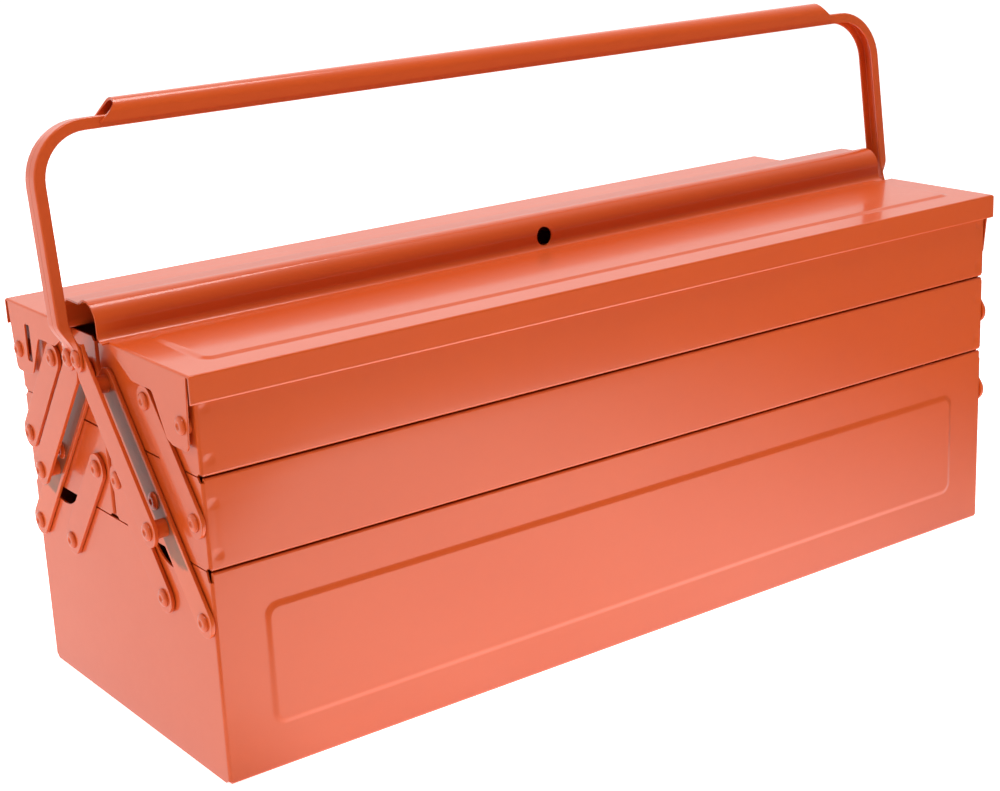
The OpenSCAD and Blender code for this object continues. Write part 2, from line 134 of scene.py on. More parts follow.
# Hooked rails and their padlock hole; the foot's bend takes what the hook's curl leaves
HOOK_R = 11 * MM
HOOK_SWEEP = 128
HOOK_FOOT_R = HOOK_START_Y - (HOOK_GAP_Y - HOOK_R * math.cos(math.radians(HOOK_SWEEP))) - HOOK_R
REAR_HOOK_R = 5 * MM
REAR_HOOK_FLAT = 8 * MM
PADLOCK_R = 5.25 * MM
PADLOCK_AT = Vector((-4 * MM, 0, LID_Z + 7.2 * MM))

# Spot welds near the trays' ends; a weld's dimple begins at its rim, a share of its radius
WELD_R = 3.4 * MM
WELD_DEPTH = 0.35 * MM
WELD_RIM = 1.15
WELD_X = END_X - 5.2 * MM
WELD_HEIGHTS = (8 * MM, 33 * MM)

# Lid flange: a short lead below the hook, then the waist over the link's round end, as points
# (distance, rise, corner radius) in mm about the middle pin's column, and the ear, as points
# about the lid's own pin. One end of each lid has a slot in its flange.
FLANGE_LEAD = 2 * MM
FLANGE_LEAD_R = 0.8 * MM
FLANGE_CLEAR = 0.3 * MM
WAIST_OUTLINE = ((-9, 0, 5), (12, 0, 4))
EAR_OUTLINE = ((-16, -10, 4), (-10, -12, 4), (4, -12, 3.5), (5.4, -9.2, 2))
EAR_OUT = 9 * MM
SLOT_AT = LID_PIN + Vector((-14, 6)) * MM
SLOT_HALF_W = 3 * MM
SLOT_HALF_H = 10 * MM
SLOT_R = 1.2 * MM

# Rivets: a head's profile is (share of the radius, share of the height), from its rim inward
PIN_R = 2.5 * MM
HEAD_R = 4.6 * MM
HEAD_H = 1.6 * MM
HEAD_GAP = 0.1 * MM
HEAD_PROFILE = ((1.0, 0.0), (1.0, 0.35), (0.93, 0.62), (0.80, 0.83), (0.62, 0.96), (0.50, 1.0),
                (0.40, 0.97), (0.30, 0.72), (0.22, 0.62), (0.02, 0.60))
TAIL_X = END_X - SHEET - HEAD_GAP
HEAD_X = STRAP_X + STRAP_T + HEAD_GAP
OUTER_HEAD_X = HANDLE_STRAP_X + STRAP_T + HEAD_GAP

# Handle: its section, bends and lean, and the tab and the jog at the foot of each leg. The tab's
# round tip ends in a share of its width.
HANDLE_T = 6 * MM
HANDLE_HALF_W = 6 * MM
HANDLE_HALF_GAP = 0.08 * MM
HANDLE_SHEET = 1.4 * MM
HANDLE_BEND_R = 30 * MM
HANDLE_LEAN = math.radians(7)
BAR_Z = LID_Z + 104 * MM
TAB_X = HANDLE_STRAP_X + STRAP_T + HANDLE_SHEET
TAB_NEAR = 0.25 * MM
TAB_FAR = 10.25 * MM
TAB_BOTTOM = TOP_PIN.y + 5.47 * MM
TAB_TOP = LID_Z - 4 * MM
TAB_TIP = 0.08
TAB_CORNER_R = 2 * MM
OUTER_FILLET_R = 12 * MM
INNER_FILLET_R = 9 * MM
JOG_LOW = LID_Z - 8.5 * MM
JOG_HIGH = LID_Z + 7.5 * MM
JOG_LEAD = 1 * MM

# Grip cover: length along its crown, and how far and how fast its ends flare below it
GRIP_L = 484 * MM
GRIP_H = 8 * MM
GRIP_LIP = 2.6 * MM
GRIP_FLARE = 10 * MM
GRIP_FLARE_POWER = 1.5

# Fineness of the meshes: distances between stations, and numbers of faces round an arc
PRESS_STEP = PRESS_SLOPE / 7
WELD_STEP = WELD_R / 4
CUT_STEP = CUT_W / 3
NOTCH_STEP = NOTCH_REACH / 14
BASE_STEP = 60 * MM
TRAY_STEP = 67 * MM
HOOK_STEP = 54 * MM
SECTION_STEPS = 3
ROLL_STEPS = 4
BEND_STEPS = 6
TIP_STEPS = 7
HEM_STEPS = 8
HOOK_FOOT_STEPS = 8
JOG_STEPS = 10
REAR_HOOK_STEPS = 12
GRIP_STEPS = 12
HANDLE_BEND_STEPS = 12
STRAP_END_STEPS = 16
HOOK_STEPS = 22
HOLE_STEPS = 24
LATHE_STEPS = 28
DRILL_STEPS = 40

# Points nearer than this are one, and edges sharper than this angle stay sharp
SAME = 1e-6
SHARP = math.radians(38)


# ---------- Outlines ----------

def arc(centre, radius, start, end, steps):
    """Points on an arc, from one angle in degrees to another."""
    angles = [math.radians(start + (end - start) * k / steps) for k in range(steps + 1)]
    u, v = centre
    return [Vector((u + radius * math.cos(a), v + radius * math.sin(a))) for a in angles]


def rounded(corners, closed=True, steps=BEND_STEPS):
    """Outline through corners (u, v, radius), each rounded to its radius."""
    points = []
    for i, (u, v, radius) in enumerate(corners):
        here = Vector((u, v))
        if radius == 0 or (not closed and i in (0, len(corners) - 1)):
            points.append(here)
            continue
        back = (Vector(corners[i - 1][:2]) - here).normalized()
        on = (Vector(corners[(i + 1) % len(corners)][:2]) - here).normalized()
        half = back.angle(on) / 2
        centre = here + (back + on).normalized() * radius / math.sin(half)
        first = here + back * radius / math.tan(half) - centre
        last = here + on * radius / math.tan(half) - centre
        start = math.degrees(math.atan2(first.y, first.x))
        turn = (math.degrees(math.atan2(last.y, last.x)) - start + 180) % 360 - 180
        points += arc(centre, radius, start, start + turn, steps)
    return points


def strap_outline(a, b):
    """Flat bar with round ends about two pins."""
    along = math.degrees(math.atan2(b.y - a.y, b.x - a.x))
    far_end = arc(b, STRAP_R, along - 90, along + 90, STRAP_END_STEPS)
    return far_end + arc(a, STRAP_R, along + 90, along + 270, STRAP_END_STEPS)


def hole(at):
    """Outline of a pin's hole in a plate."""
    return arc(at, PIN_R, 0, 360, HOLE_STEPS)[:-1]


def spread(low, high, *dense):
    """Stations from low to high, with extra ones through each dense stretch (from, to, step)."""
    low, high = round(low, 7), round(high, 7)
    stations = {low, high}
    for start, end, step in dense:
        count = max(1, round((end - start) / step))
        stations |= {round(start + (end - start) * k / count, 7) for k in range(count + 1)}
    return sorted(s for s in stations if low <= s <= high)


def smooth_step(value):
    """0 up to 0 and 1 from 1, with a soft step between."""
    value = min(1, max(0, value))
    return value * value * (3 - 2 * value)


# ---------- Meshes ----------

def closed_mesh(name, bm):
    """Mesh from a bmesh, with doubled points welded and normals outward."""
    bmesh.ops.remove_doubles(bm, verts=bm.verts, dist=SAME)
    bmesh.ops.dissolve_degenerate(bm, edges=bm.edges, dist=SAME / 10)
    bmesh.ops.recalc_face_normals(bm, faces=bm.faces)
    mesh = bpy.data.meshes.new(name)
    bm.to_mesh(mesh)
    bm.free()
    return mesh


def placed(name, data):
    """New object in the scene."""
    made = bpy.data.objects.new(name, data)
    bpy.context.scene.collection.objects.link(made)
    return made


def worked_out(made):
    """Mesh of an object after its curve or its modifiers are worked out."""
    shown = made.evaluated_get(bpy.context.evaluated_depsgraph_get())
    return bpy.data.meshes.new_from_object(shown)


def at_corner(mesh, side="front", end="left"):
    """The front left pattern, mirrored to another side or end."""
    bm = bmesh.new()
    bm.from_mesh(mesh)
    bm.transform(Matrix.Diagonal((-ENDS[end], -SIDES[side], 1, 1)))
    return closed_mesh(mesh.name, bm)


def both_ends(meshes):
    """The left end's meshes and their mirror at the right end."""
    return meshes + [at_corner(m, end="right") for m in meshes]


def plate(name, loops, x_outer, thickness, edge=EDGE):
    """Flat plate at the left end, from outlines in (distance to the front, height)."""
    curve = bpy.data.curves.new(name, "CURVE")
    curve.dimensions = "2D"
    curve.fill_mode = "BOTH"
    curve.extrude = thickness / 2 - edge
    curve.bevel_depth = edge
    curve.bevel_resolution = 2
    curve.offset = -edge
    for loop in loops:
        spline = curve.splines.new("POLY")
        spline.points.add(len(loop) - 1)
        for point, (u, v) in zip(spline.points, loop):
            point.co = (u, v, 0, 1)
        spline.use_cyclic_u = True
    pattern = placed(name, curve)
    bm = bmesh.new()
    bm.from_mesh(worked_out(pattern))
    bpy.data.objects.remove(pattern)
    rows = ((0, 0, 1, -x_outer + thickness / 2), (-1, 0, 0, 0), (0, 1, 0, 0), (0, 0, 0, 1))
    bm.transform(Matrix(rows))
    return closed_mesh(name, bm)


def sheet(name, path, stations, place, thickness):
    """Closed sheet whose outer face place(station, point) lays out along a path of points.

    Its inner face lies a thickness behind, or before where the thickness is below 0.
    """
    grid = [[place(station, point) for station in stations] for point in path]
    rows, columns = len(grid), len(grid[0])

    def lean(points, k):
        before = points[k] - points[k - 1] if k > 0 else points[1] - points[0]
        after = points[k + 1] - points[k] if k + 1 < len(points) else before
        return before.normalized() + after.normalized()

    bm = bmesh.new()
    outer, inner = [], []
    for i in range(rows):
        outer.append([])
        inner.append([])
        for j in range(columns):
            down = lean([grid[k][j] for k in range(rows)], i)
            across = lean(grid[i], j)
            normal = down.cross(across).normalized()
            outer[i].append(bm.verts.new(grid[i][j]))
            inner[i].append(bm.verts.new(grid[i][j] - normal * thickness))
    for i in range(rows - 1):
        for j in range(columns - 1):
            for skin in (outer, inner):
                bm.faces.new((skin[i][j], skin[i + 1][j], skin[i + 1][j + 1], skin[i][j + 1]))
    rim = [(i, 0) for i in range(rows)] + [(rows - 1, j) for j in range(1, columns)]
    rim += [(i, columns - 1) for i in range(rows - 2, -1, -1)]
    rim += [(0, j) for j in range(columns - 2, 0, -1)]
    for (i, j), (k, m) in zip(rim, rim[1:] + rim[:1]):
        bm.faces.new((outer[i][j], outer[k][m], inner[k][m], inner[i][j]))
    return closed_mesh(name, bm)


def sweep(name, rings):
    """Closed bar through rings of points, all with as many points."""
    bm = bmesh.new()
    made = [[bm.verts.new(p) for p in ring] for ring in rings]
    count = len(rings[0])
    for one, two in zip(made, made[1:]):
        for k in range(count):
            bm.faces.new((one[k], one[(k + 1) % count], two[(k + 1) % count], two[k]))
    bm.faces.new(made[0])
    bm.faces.new(made[-1])
    return closed_mesh(name, bm)


def lathe(name, profile, at):
    """Round solid about a line along X through at (y, z), from a profile of (x, radius)."""
    turns = [2 * math.pi * k / LATHE_STEPS for k in range(LATHE_STEPS)]
    y, z = at
    rings = [[(x, y + radius * math.cos(t), z + radius * math.sin(t)) for t in turns]
             for x, radius in profile]
    return sweep(name, rings)


def drilled(mesh, at, radius, length):
    """Mesh with a round hole along Y cut through it."""
    bm = bmesh.new()
    turn = Matrix.Translation(at) @ Matrix.Rotation(math.pi / 2, 4, "X")
    bmesh.ops.create_cone(bm, cap_ends=True, segments=DRILL_STEPS, radius1=radius, radius2=radius,
                          depth=length, matrix=turn)
    drill = placed("drill", closed_mesh("drill", bm))
    blank = placed("blank", mesh)
    cut = blank.modifiers.new("hole", "BOOLEAN")
    cut.operation = "DIFFERENCE"
    cut.solver = "EXACT"
    cut.object = drill
    result = worked_out(blank)
    for thing in (drill, blank):
        bpy.data.objects.remove(thing)
    return result


def piece(name, node, meshes, finish):
    """One named piece from several meshes, which stands for a node and rides on its body."""
    bm = bmesh.new()
    for mesh in meshes:
        bm.from_mesh(mesh)
    joined = bpy.data.meshes.new(name)
    bm.to_mesh(joined)
    bm.free()
    joined.shade_smooth()
    joined.set_sharp_from_angle(angle=SHARP)
    joined.materials.append(finish)
    made = placed(name, joined)
    made.modifiers.new("flat faces stay flat", "WEIGHTED_NORMAL").keep_sharp = True
    bodies = frame["record"]["behaviour"]["bodies"]
    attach(made, next(body for body, nodes in bodies.items() if node in nodes))
    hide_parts(node)


# ---------- Finishes ----------

class Field:
    """A value or colour on its way through a tree's nodes."""

    def __init__(self, nodes, socket):
        self.nodes = nodes
        self.socket = socket

    def _math(self, operation, one, two):
        return self.nodes.add("ShaderNodeMath", {"operation": operation}, {0: one, 1: two})

    def __add__(self, other):
        return self._math("ADD", self, other)

    def __sub__(self, other):
        return self._math("SUBTRACT", self, other)

    def __rsub__(self, other):
        return self._math("SUBTRACT", other, self)

    def __mul__(self, other):
        return self._math("MULTIPLY", self, other)

    def __abs__(self):
        return self._math("ABSOLUTE", self, 0)

    __radd__ = __add__
    __rmul__ = __mul__


class Nodes:
    """The nodes behind one shader, made of expressions."""

    def __init__(self, owner, shader_type, place):
        owner.use_nodes = True
        self.tree = owner.node_tree
        self.shader = next(n for n in self.tree.nodes if n.type == shader_type)
        self.place = self.add("ShaderNodeTexCoord", {}, {}, place)

    def add(self, kind, settings, values, output=0):
        """A node of any type: its settings come first, then its sockets' values or links."""
        node = self.tree.nodes.new(kind)
        for key, value in settings.items():
            setattr(node, key, value)
        for socket, value in values.items():
            self.put(node.inputs[socket], value)
        return Field(self, node.outputs[output])

    def put(self, socket, value):
        """Link or constant into a socket."""
        if isinstance(value, Field):
            self.tree.links.new(value.socket, socket)
        else:
            socket.default_value = value

    def to(self, socket, value):
        """Link or constant into one of the shader's sockets."""
        self.put(self.shader.inputs[socket], value)

    def axis(self, name):
        """One coordinate of the place."""
        return self.add("ShaderNodeSeparateXYZ", {}, {0: self.place}, name)

    def ease(self, value, start, end, low=0.0, high=1.0):
        """low up to start and high from end, with a soft step between; end may be below start."""
        values = {"Value": value, "From Min": start, "From Max": end, "To Min": low, "To Max": high}
        return self.add("ShaderNodeMapRange", {"interpolation_type": "SMOOTHSTEP"}, values)


class Finish(Nodes):
    """A procedural material that ends in one Principled shader."""

    def __init__(self, name, **constants):
        self.material = bpy.data.materials.new(name)
        super().__init__(self.material, "BSDF_PRINCIPLED", "Object")
        for socket, value in constants.items():
            self.to(socket.replace("_", " "), value)

    def noise(self, size, detail):
        """Noise from 0 to 1 whose blobs are about size across, in metres."""
        values = {"Vector": self.place, "Scale": 1 / size, "Detail": detail}
        return self.add("ShaderNodeTexNoise", {}, values)

    def mix(self, share, one, two):
        """Colour between two others."""
        values = {0: share, 6: one, 7: two}
        return self.add("ShaderNodeMix", {"data_type": "RGBA"}, values, 2)

    def bump(self, height, depth, under=None):
        """Relief of a height field, over another relief if there is one."""
        values = {"Height": height, "Distance": depth, "Strength": 1.0}
        if under:
            values["Normal"] = under
        return self.add("ShaderNodeBump", {}, values)


ORANGE = (0.71, 0.098, 0.013, 1)
DEEP_ORANGE = (0.64, 0.077, 0.010, 1)
# Brown of the painted shade on the long arms under the handle's strap
SHADE_BROWN = (0.26, 0.10, 0.055, 1)

# Powder coat: its gloss, the size of its clouds and grain, and the relief of peel and sag
SPECULAR = 0.2
COAT_WEIGHT = 0.5
COAT_ROUGHNESS = 0.1
ROUGHNESS = 0.26
CLOUD_SIZE = 90 * MM
GRAIN_SIZE = 6 * MM
PEEL_SIZE = 2.2 * MM
PEEL_DEPTH = 0.005 * MM
SAG_SIZE = 70 * MM
SAG_DEPTH = 0.05 * MM

# Painted shade on the long arms, a brown stretch under the handle's strap: where it fades in inside
# the rim, its ragged ends, how far it reaches below the middle pin and how much of the coat is lost
# there
SHADE_RIM = (1.6 * MM, 2.4 * MM)
SHADE_FADE = 3 * MM
SHADE_RAGGED = 8 * MM
SHADE_GRAIN = 9 * MM
SHADE_BELOW = 24 * MM
SHADE_COAT_LOSS = 0.45


def enamel(name, sag=SAG_DEPTH):
    """Glossy orange powder coat: orange peel, faint sag of the sheet and uneven depth of colour."""
    coat = Finish(name, Specular_IOR_Level=SPECULAR, Coat_Weight=COAT_WEIGHT,
                  Coat_Roughness=COAT_ROUGHNESS)
    cloud = coat.noise(CLOUD_SIZE, 3)
    grain = coat.noise(GRAIN_SIZE, 4)
    coat.to("Base Color", coat.mix(cloud * 0.7 + grain * 0.2, ORANGE, DEEP_ORANGE))
    coat.to("Roughness", ROUGHNESS + 0.10 * cloud + 0.04 * grain)
    waves = coat.bump(coat.noise(SAG_SIZE, 1), sag)
    coat.to("Normal", coat.bump(coat.noise(PEEL_SIZE, 2), PEEL_DEPTH, waves))
    return coat


def painted_shade_enamel(name, low, high):
    """Long arm's enamel with painted shade: brown and with less coat inside its rim, under the handle's
    strap.
    """
    coat = enamel(name, sag=0)
    grain = coat.noise(SHADE_GRAIN, 3)
    along = (TOP_PIN - BASE_PIN).normalized()
    y, z = abs(coat.axis("Y")) - BASE_PIN.x, coat.axis("Z") - BASE_PIN.y
    from_rim = STRAP_R - abs(y * along.y - z * along.x)
    height = coat.axis("Z") + grain * SHADE_RAGGED
    painted_shade = coat.ease(height, low, low + SHADE_FADE) * coat.ease(height, high + SHADE_FADE, high)
    painted_shade = painted_shade * coat.ease(from_rim, *SHADE_RIM)
    # Painted shade: the arm turns brown where the handle's strap shades it
    coat.to("Base Color", coat.mix(painted_shade * (0.65 + grain * 0.5), ORANGE, SHADE_BROWN))
    coat.to("Coat Weight", COAT_WEIGHT - SHADE_COAT_LOSS * painted_shade)
    return coat


shell_finish = enamel("shell_enamel").material
strap_finish = enamel("strap_enamel", sag=0).material
rivet_finish = enamel("rivet_enamel", sag=0).material
handle_finish = enamel("handle_enamel", sag=0).material
# The long arms' finish carries painted shade under the handle's strap
arm_shade_finish = painted_shade_enamel("arm_painted_shade_enamel", MIDDLE_PIN.y - SHADE_BELOW, TOP_PIN.y).material


# ---------- Folded and pressed sheet ----------

def hem_path(y_outer, top, facing):
    """Fold at the top of a wall: from the tail inside, over the top, to the outer face."""
    centre = (y_outer - facing * HEM_R, top - HEM_R)
    over = arc(centre, HEM_R, 90 + facing * 90, 90 - facing * 90, HEM_STEPS)
    return [Vector((over[0].x, top - HEM_H))] + over


def press_borders(low, high, beyond=0):
    """Dense stretches through the two sloping borders of a pressed panel."""
    return [(low - beyond, low + PRESS_R, PRESS_STEP), (high - PRESS_R, high + beyond, PRESS_STEP)]


def weld_spots(middles):
    """Dense stretches through spot welds."""
    return [(at - WELD_R, at + WELD_R, WELD_STEP) for at in middles]


def rounded_rect_depth(u, v, half_u, half_v, radius):
    """How far a point lies inside a rounded rectangle about the origin."""
    du = abs(u) - (half_u - radius)
    dv = abs(v) - (half_v - radius)
    outside = math.hypot(max(du, 0), max(dv, 0))
    return radius - outside - min(max(du, dv), 0)


def pressed(u, v, half_u, half_v):
    """Height of a pressed panel over the sheet round it."""
    return PRESS_H * smooth_step(rounded_rect_depth(u, v, half_u, half_v, PRESS_R) / PRESS_SLOPE)


def dimple(u, v):
    """Depth of a spot weld at a distance (u, v) from its middle."""
    return -WELD_DEPTH * smooth_step(WELD_RIM - math.hypot(u, v) / WELD_R)


def notch_depth(y):
    """How far the arc notch reaches below the base's top edge."""
    away = abs(y) - NOTCH_Y
    return max(0, math.sqrt(max(0, NOTCH_R ** 2 - away ** 2)) - NOTCH_RISE)


def end_panel(name, y_ends, z_ends, trim_top, notched=False):
    """End wall at the left, bent round both vertical corners and cut back at its own corners."""
    y_low, y_high = y_ends
    bottom, top = z_ends
    bend_low, bend_high = y_low + CORNER_R, y_high - CORNER_R
    dense = [(bend_low, bend_low + CUT_W, CUT_STEP), (bend_high - CUT_W, bend_high, CUT_STEP)]
    if notched:
        dense += [(y - NOTCH_REACH, y + NOTCH_REACH, NOTCH_STEP) for y in (-NOTCH_Y, NOTCH_Y)]
    path = arc((-WRAP_X, bend_low), CORNER_R, 270, 180, BEND_STEPS)[:-1]
    path += [Vector((-END_X, y)) for y in spread(bend_low, bend_high, *dense)]
    path += arc((-WRAP_X, bend_high), CORNER_R, 180, 90, BEND_STEPS)[1:]

    def place(share, p):
        """Point above p, which is (x, y), a share of the way from the wall's foot to its head."""
        near = CORNER_R + CUT_W - min(abs(p.y - y_low), abs(p.y - y_high))
        cut = smooth_step(near / CUT_W + CUT_START) if near > 0 else 0
        foot = bottom + CORNER_R * cut
        head = top - trim_top * cut - (notch_depth(p.y) if notched else 0)
        return Vector((p.x, p.y, foot + (head - foot) * share))

    return sheet(name, path, (0, 0.25, 0.5, 0.75, 1), place, -SHEET)


# ---------- Base ----------

def base_wrap():
    """Bottom and both pressed long walls in one folded sheet."""
    mid_z = BASE_TOP / 2
    half_x, half_z = END_X - BASE_PRESS_MARGIN_X, mid_z - BASE_PRESS_MARGIN_Z
    heights = spread(CORNER_R, BASE_TOP - HEM_R, *press_borders(mid_z - half_z, mid_z + half_z))
    front = hem_path(-FACE_Y, BASE_TOP, -1)
    front += [Vector((-FACE_Y, z)) for z in reversed(heights[1:-1])]
    front += arc((-FACE_Y + CORNER_R, CORNER_R), CORNER_R, 180, 270, BEND_STEPS)
    path = front + [Vector((-p.x, p.y)) for p in reversed(front)]
    borders = press_borders(-half_x, half_x, PRESS_R)
    stations = spread(-WRAP_X, WRAP_X, *borders, (-half_x, half_x, BASE_STEP))

    def place(x, p):
        on_wall = abs(abs(p.x) - FACE_Y) < SAME
        lift = pressed(x, p.y - mid_z, half_x, half_z) if on_wall else 0
        return Vector((x, p.x + math.copysign(lift, p.x), p.y))

    return sheet("base_wrap", path, stations, place, SHEET)


# ---------- Trays ----------

def tray_trough(tier):
    """Folded trough of a front tray with a hem along both long edges."""
    low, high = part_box(f"front_{tier}_tray")
    outer, inner, bottom, top = low.y, high.y, low.z, high.z
    welds = [bottom + h for h in WELD_HEIGHTS]
    heights = spread(bottom + CORNER_R, top - HEM_R, *weld_spots(welds))
    path = hem_path(outer, top, -1) + [Vector((outer, z)) for z in reversed(heights[1:-1])]
    path += arc((outer + CORNER_R, bottom + CORNER_R), CORNER_R, 180, 270, BEND_STEPS)
    path += arc((inner - CORNER_R, bottom + CORNER_R), CORNER_R, 270, 360, BEND_STEPS)
    path += list(reversed(hem_path(inner, top, 1)))
    spots = weld_spots((-WELD_X, WELD_X))
    stations = spread(-WRAP_X, WRAP_X, *spots, (-WRAP_X, WRAP_X, TRAY_STEP))

    def place(x, p):
        on_wall = abs(p.x - outer) < SAME
        sink = min(dimple(abs(x) - WELD_X, p.y - z) for z in welds) if on_wall else 0
        return Vector((x, p.x - sink, p.y))

    return sheet(f"{tier}_trough", path, stations, place, SHEET)


def tray_panel(tier):
    """Left end wall of a front tray."""
    low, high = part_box(f"front_{tier}_tray_end_left")
    return end_panel(f"{tier}_panel", (low.y, high.y), (low.z, high.z), TRAY_CUT)


# ---------- Lids ----------

def lid_top():
    """Lid top with its pressed panel, folded down in front into the skirt."""
    outer, inner = SKIRT_Y - LID_PRESS_MARGIN_OUTER, HOOK_START_Y + LID_PRESS_MARGIN_INNER
    half_x, half_y = LID_X - LID_PRESS_MARGIN_X, (outer - inner) / 2
    mid_y = (outer + inner) / 2
    depths = spread(HOOK_START_Y, SKIRT_Y - ROLL_R, *press_borders(inner, outer))
    path = [Vector((-y, LID_Z)) for y in depths[:-1]]
    path += arc((-SKIRT_Y + ROLL_R, LID_Z - ROLL_R), ROLL_R, 90, 180, BEND_STEPS)
    foot = LID_Z - SKIRT_H
    path += arc((-SKIRT_Y + SKIRT_TURN, foot + SKIRT_TURN), SKIRT_TURN, 180, SKIRT_TURN_TO, ROLL_STEPS)
    path[-1].y = foot
    borders = press_borders(-half_x, half_x, PRESS_R)
    inside = spread(-LID_X + ROLL_R, LID_X - ROLL_R, *borders, (-half_x, half_x, BASE_STEP))
    turns = [90 * k / BEND_STEPS for k in range(1, BEND_STEPS + 1)]
    stations = [(-LID_X + ROLL_R, -turn) for turn in reversed(turns)] + [(x, 0) for x in inside]
    stations += [(LID_X - ROLL_R, turn) for turn in turns]

    def place(station, p):
        """Point for p on a line across the lid, or on its end's roll, a turn in degrees round it."""
        x, turn = station
        on_top = abs(p.y - LID_Z) < SAME
        lift = pressed(x, -p.x - mid_y, half_x, half_y) if on_top else 0
        share = smooth_step((p.y - LID_Z + ROLL_R) / ROLL_R)
        angle = math.radians(abs(turn))
        drop = ROLL_R * (1 - math.cos(angle)) * share
        return Vector((x + math.copysign(ROLL_R * math.sin(angle), turn), p.x, p.y + lift - drop))

    return sheet("lid_top", path, stations, place, SHEET)


def lid_rail(side):
    """Hooked rail along the lid's inner edge, drilled for a padlock. The rear one has a flat top."""
    face_y = HOOK_START_Y - HOOK_FOOT_R
    path = arc((HOOK_START_Y, LID_Z + HOOK_FOOT_R), HOOK_FOOT_R, 270, 180, HOOK_FOOT_STEPS)
    if side == "front":
        path += arc((face_y - HOOK_R, HOOK_TOP - HOOK_R), HOOK_R, 0, HOOK_SWEEP, HOOK_STEPS)
    else:
        crown = (face_y - REAR_HOOK_R, REAR_HOOK_TOP - REAR_HOOK_R)
        path += arc(crown, REAR_HOOK_R, 0, 90, REAR_HOOK_STEPS)
        path += [Vector((HOOK_GAP_Y + REAR_HOOK_FLAT * k, REAR_HOOK_TOP)) for k in (1, 0.5, 0)]
    stations = spread(*HOOK_ENDS, (*HOOK_ENDS, HOOK_STEP))
    rail = sheet("lid_rail", path, stations, lambda x, p: Vector((x, -p.x, p.y)), -SHEET)
    return drilled(rail, PADLOCK_AT, PADLOCK_R, 4 * SKIRT_Y)


def lid_flange(slotted):
    """End flange of a lid at the left, cut away over the link's pin, with the ear round its own pin."""
    top = LID_Z - SHEET
    waist = Vector((MIDDLE_PIN.x, TOP_PIN.y + STRAP_R + FLANGE_CLEAR))
    corners = [(HOOK_START_Y, top, 0), (HOOK_START_Y, top - FLANGE_LEAD, FLANGE_LEAD_R)]
    for origin, outline in ((waist, WAIST_OUTLINE), (LID_PIN, EAR_OUTLINE)):
        corners += [(origin.x + y * MM, origin.y + z * MM, r * MM) for y, z, r in outline]
    corners.append((LID_PIN.x + EAR_OUT, top, 0))
    loops = [rounded(corners, steps=ROLL_STEPS), hole(LID_PIN)]
    if slotted:
        ways = ((-1, -1), (1, -1), (1, 1), (-1, 1))
        loops.append(rounded([(SLOT_AT.x + s * SLOT_HALF_W, SLOT_AT.y + t * SLOT_HALF_H, SLOT_R)
                              for s, t in ways]))
    return plate("lid_flange", loops, LID_X, SHEET, FLANGE_EDGE)


# ---------- Handle ----------

def leaning(x, y, z):
    """Place of a point of the upright handle after it leans to the rear about the top pins."""
    rise = z - TOP_PIN.y
    return Vector((x, y * math.cos(HANDLE_LEAN) + rise * math.sin(HANDLE_LEAN),
                   TOP_PIN.y - y * math.sin(HANDLE_LEAN) + rise * math.cos(HANDLE_LEAN)))


def leaned(side, y, z):
    """The same for a point given by its distance toward its own side, as a Vector of two."""
    at = leaning(0, SIDES[side] * y, z)
    return Vector((SIDES[side] * at.y, at.z))


def tab_rivet_at(side):
    """Place of the rivet that holds a handle's leg to its strap."""
    return leaned(side, (TAB_NEAR + TAB_FAR) / 2, (TAB_BOTTOM + TAB_TOP) / 2)


def handle_strap(side):
    """Strap outside the long arm, with the tab that the handle's leg is riveted to."""
    along = (TOP_PIN - STRAP_FOOT).normalized()
    across = Vector((-along.y, along.x)) * math.copysign(STRAP_R, -along.y)
    angle = math.degrees(math.atan2(along.y, along.x))
    foot = arc(STRAP_FOOT, STRAP_R, angle + 90, angle + 270, STRAP_END_STEPS)
    near_top, far_top = (leaned(side, y, TAB_TOP) for y in (TAB_NEAR, TAB_FAR))
    down = (leaned(side, TAB_NEAR, TAB_BOTTOM) - near_top).normalized()

    def meets(top, offset):
        """Where the tab's edge below a corner crosses the strap's edge."""
        gap = STRAP_FOOT + offset - top
        share = (gap.x * along.y - gap.y * along.x) / (down.x * along.y - down.y * along.x)
        return top + down * share

    inner, outer = meets(near_top, -across), meets(far_top, across)
    head = rounded([
        (*(STRAP_FOOT + across), 0), (*outer, OUTER_FILLET_R), (*far_top, TAB_CORNER_R),
        (*near_top, TAB_CORNER_R), (*inner, INNER_FILLET_R), (*(STRAP_FOOT - across), 0)], closed=False)
    loops = [head[1:-1] + foot, hole(STRAP_FOOT), hole(tab_rivet_at(side))]
    return plate("handle_strap", loops, HANDLE_STRAP_X + STRAP_T, STRAP_T)


